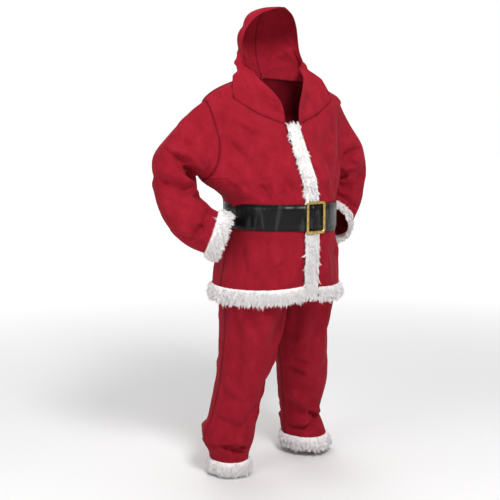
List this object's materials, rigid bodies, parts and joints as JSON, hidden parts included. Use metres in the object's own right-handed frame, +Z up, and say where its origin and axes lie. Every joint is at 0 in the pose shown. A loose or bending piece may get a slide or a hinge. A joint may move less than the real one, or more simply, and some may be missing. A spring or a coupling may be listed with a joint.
{
  "type": "santa suit",
  "caption": "Hooded costume jacket and trousers with pile trim at the front, hems and cuffs, a wide waist belt and a buckle, held in the shape of a wearer.",
  "frame": {"origin": "on the centre plane inside the collar, level with where it rests on the wearer's shoulders, 1.50 m above the floor that the wearer stands on", "axes": "+Z up, -Y the way that the wearer faces, +X the wearer's left"},
  "size_m": [0.9961, 0.5069, 1.7956],
  "materials": {
    "red_cloth": "brushed, matt",
    "white_fur": "long pile",
    "black_vinyl": "glossy",
    "gold_metal": "polished"
  },
  "bodies": {
    "root": {"jacket_back": "red_cloth", "jacket_front_right": "red_cloth", "jacket_front_left": "red_cloth", "sleeve_right": "red_cloth", "sleeve_left": "red_cloth", "hood_right": "red_cloth", "hood_left": "red_cloth", "trouser_front_right": "red_cloth", "trouser_front_left": "red_cloth", "trouser_back_right": "red_cloth", "trouser_back_left": "red_cloth", "waistband": "red_cloth", "hem_fur": "white_fur", "front_fur": "white_fur", "cuff_fur_right": "white_fur", "cuff_fur_left": "white_fur", "leg_fur_right": "white_fur", "leg_fur_left": "white_fur", "belt_strap": "black_vinyl", "belt_tail": "black_vinyl", "buckle_frame": "gold_metal"}
  },
  "joints": []
}
